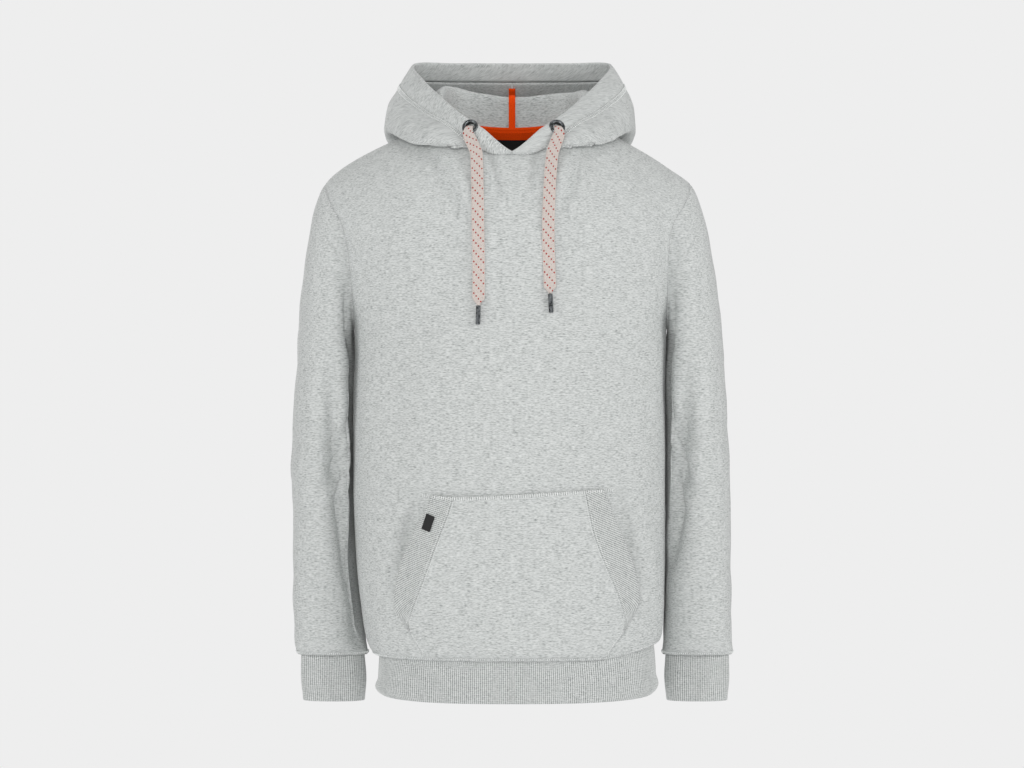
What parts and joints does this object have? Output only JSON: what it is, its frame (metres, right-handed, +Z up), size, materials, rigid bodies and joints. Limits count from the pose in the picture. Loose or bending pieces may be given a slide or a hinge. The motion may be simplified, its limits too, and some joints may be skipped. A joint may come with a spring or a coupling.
{
  "type": "pullover hoodie",
  "caption": "Pullover hoodie in heather fleece, filled out as if worn, with an open hood, flat drawcords, kangaroo pocket, ribbed cuffs and ribbed hem.",
  "frame": {"origin": "middle of the neck opening, level with the high points of the shoulders, where the wearer's neck and shoulders hold the garment", "axes": "+Z up along the garment's length, -Y out of its front, +X towards the wearer's left"},
  "size_m": [0.5748, 0.3295, 0.8372],
  "materials": {
    "heather_fleece": "brushed-back sweatshirt fleece, light heather grey",
    "heather_rib": "two-by-two rib knit, light heather grey",
    "orange_tape": "orange twill tape",
    "black_label": "black woven label, bare",
    "cream_cord": "flat cream braid with small red flecks",
    "gunmetal": "dark gunmetal plating"
  },
  "bodies": {
    "root": {"front_panel": "heather_fleece", "back_panel": "heather_fleece", "sleeve_right": "heather_fleece", "sleeve_left": "heather_fleece", "hood_right": "heather_fleece", "hood_left": "heather_fleece", "hood_band": "heather_fleece", "pocket_panel": "heather_fleece", "cuff_right": "heather_rib", "cuff_left": "heather_rib", "hem_rib": "heather_rib", "pocket_rib_right": "heather_rib", "pocket_rib_left": "heather_rib", "neck_tape": "orange_tape", "hood_seam_tape": "orange_tape", "neck_label": "black_label", "pocket_label": "black_label", "drawcord_right": "cream_cord", "drawcord_left": "cream_cord", "eyelet_right": "gunmetal", "eyelet_left": "gunmetal", "aglet_right": "gunmetal", "aglet_left": "gunmetal"}
  },
  "joints": []
}
